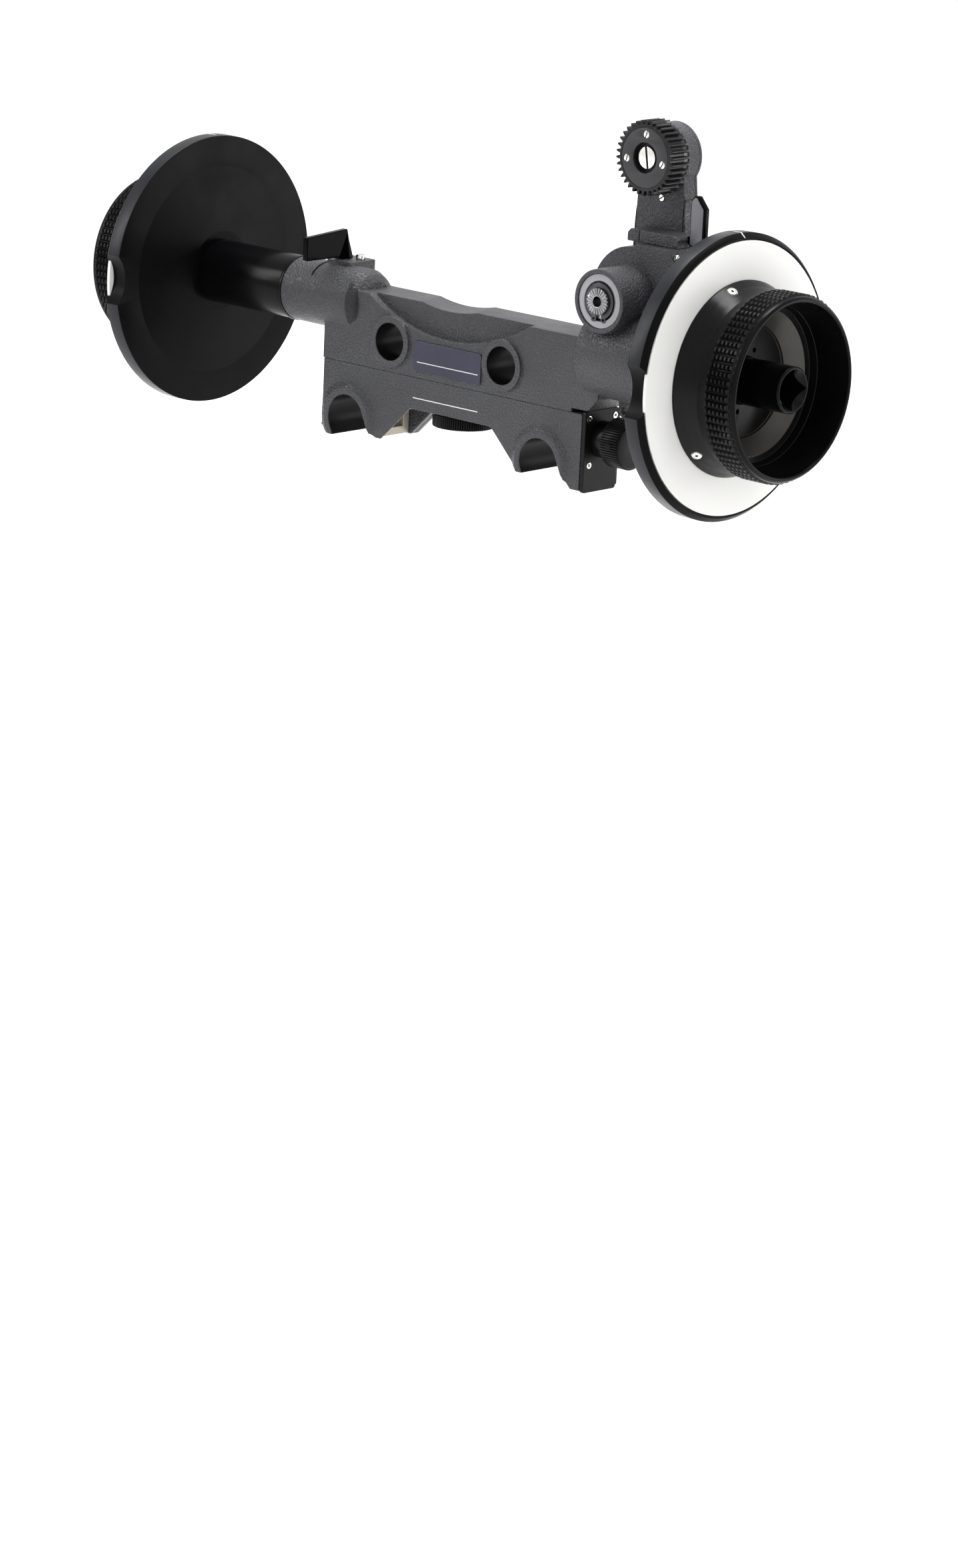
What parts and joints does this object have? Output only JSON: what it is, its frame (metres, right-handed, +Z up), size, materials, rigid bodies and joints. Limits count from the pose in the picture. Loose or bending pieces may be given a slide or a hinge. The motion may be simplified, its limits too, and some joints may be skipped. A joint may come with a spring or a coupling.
{
  "type": "follow focus unit",
  "caption": "Two-sided follow focus: hand wheels with white marking discs on a cross shaft, a geared swing arm, and a bridge that hooks over two support rods.",
  "frame": {"origin": "axis of the left 19 mm rod's seat, at the front face of the bridge", "axes": "+X from the left hand wheel to the right one, +Y back along the rods, +Z up"},
  "size_m": [0.3444, 0.1091, 0.1448],
  "materials": {
    "cast": "fine textured grey-black coating",
    "label": "dark blue-grey, bare",
    "black_plate": "satin black",
    "anodised": "satin black anodised",
    "white_disc": "matt white writing surface",
    "steel": "machined steel",
    "nickel": "bright nickel",
    "jaw": "warm grey hard-anodised",
    "gear_plastic": "matt black",
    "backing": "pale machined metal"
  },
  "bodies": {
    "housing": {"main_casting": "cast", "bridge_casting_left": "cast", "bridge_casting_right": "cast", "arm_guide_block": "cast", "housing_end_cap": "cast", "label_plate": "label", "bridge_back_plate_left": "black_plate", "bridge_back_plate_right": "black_plate", "bridge_end_plate": "black_plate", "index_disc_right": "anodised", "index_disc_left": "anodised", "extension_tube": "anodised", "extension_ring": "anodised", "output_bearing_front": "steel", "output_bearing_rear": "steel", "shaft_bearing_right": "steel", "shaft_bearing_left": "steel", "shaft_bearing_outer": "steel", "ear_screw": "nickel", "side_screw": "nickel", "end_plate_screws": "nickel"},
    "hand_wheels": {"wheel_shaft": "steel", "extension_shaft": "steel", "shaft_coupling": "steel", "drive_gear": "steel", "right_wheel": "anodised", "left_wheel": "anodised", "right_wheel_grip": "anodised", "left_wheel_grip": "anodised", "right_wheel_hub": "anodised", "left_wheel_hub": "anodised", "marking_disc_right": "white_disc", "marking_disc_left": "white_disc", "wheel_screws_right": "nickel", "wheel_screws_left": "nickel"},
    "output": {"output_shaft": "steel", "output_gear": "steel", "output_circlip": "steel"},
    "gear_arm": {"arm_casting": "cast", "arm_back_cover": "cast", "arm_axles": "steel", "arm_screw": "nickel"},
    "sun": {"sun_gear": "steel"},
    "lower_idler": {"idler_gear_lower": "steel"},
    "upper_idler": {"idler_gear_upper": "steel"},
    "lens_drive": {"lens_spindle": "steel", "lens_gear": "gear_plastic", "lens_gear_backing": "backing", "gear_cover_disc": "gear_plastic", "gear_cover_screws": "nickel", "gear_centre_screw": "nickel"},
    "arm_lock": {"arm_lock_lever": "black_plate"},
    "tube_clamp": {"extension_clamp_lever": "black_plate", "extension_clamp_bolt": "steel"},
    "knob": {"clamp_knob": "anodised", "clamp_screw": "steel"},
    "rod_clamp": {"clamp_bar": "steel", "left_jaw": "jaw", "right_jaw": "jaw"},
    "bridge_screw": {"bridge_thumbscrew": "anodised"}
  },
  "joints": [
    {"name": "wheel_spin", "type": "hinge", "parent": "housing", "child": "hand_wheels", "pos_m": [0.052, 0.0096, 0.0462], "axis": [1, 0, 0], "continuous": true},
    {"name": "output_spin", "type": "hinge", "parent": "housing", "child": "output", "pos_m": [0.1368, 0.0096, 0.06883], "axis": [0, 1, 0], "continuous": true},
    {"name": "arm_swing", "type": "hinge", "parent": "housing", "child": "gear_arm", "pos_m": [0.1368, 0.0257, 0.06883], "axis": [0, 1, 0], "range_deg": [-80, 8]},
    {"name": "sun_spin", "type": "hinge", "parent": "gear_arm", "child": "sun", "pos_m": [0.1368, 0.0291, 0.06883], "axis": [0, 1, 0], "continuous": true},
    {"name": "lower_idler_spin", "type": "hinge", "parent": "gear_arm", "child": "lower_idler", "pos_m": [0.1368, 0.0291, 0.08643], "axis": [0, 1, 0], "continuous": true},
    {"name": "upper_idler_spin", "type": "hinge", "parent": "gear_arm", "child": "upper_idler", "pos_m": [0.1368, 0.0291, 0.10403], "axis": [0, 1, 0], "continuous": true},
    {"name": "lens_gear_spin", "type": "hinge", "parent": "gear_arm", "child": "lens_drive", "pos_m": [0.1368, 0.0291, 0.12163], "axis": [0, 1, 0], "continuous": true},
    {"name": "arm_lock_turn", "type": "hinge", "parent": "housing", "child": "arm_lock", "pos_m": [0.156, 0.0215, 0.0921], "axis": [1, 0, 0], "range_deg": [0, 75]},
    {"name": "tube_clamp_turn", "type": "hinge", "parent": "housing", "child": "tube_clamp", "pos_m": [-0.018, 0.014, 0.0606], "axis": [0, 0, 1], "range_deg": [-75, 60]},
    {"name": "knob_turn", "type": "hinge", "parent": "housing", "child": "knob", "pos_m": [0.132, 0.0105, 0.0118], "axis": [1, 0, 0], "range_deg": [-2475, 0]},
    {"name": "rod_clamp_slide", "type": "slide", "parent": "housing", "child": "rod_clamp", "axis": [1, 0, 0], "range_m": [0, 0.0055]},
    {"name": "bridge_screw_turn", "type": "hinge", "parent": "housing", "child": "bridge_screw", "pos_m": [0.052, 0.012, 0.007], "axis": [0, 0, 1], "range_deg": [-1440, 0]}
  ],
  "couplings": [
    {"joint": "output_spin", "follows": "wheel_spin", "ratio": -1.6667},
    {"joint": "sun_spin", "follows": "wheel_spin", "ratio": -1.6667},
    {"joint": "lower_idler_spin", "follows": "wheel_spin", "ratio": 1.6667},
    {"joint": "upper_idler_spin", "follows": "wheel_spin", "ratio": -1.6667},
    {"joint": "lens_gear_spin", "follows": "wheel_spin", "ratio": 1.6667},
    {"joint": "knob_turn", "follows": "rod_clamp_slide", "rad_per_m": -7854}
  ]
}
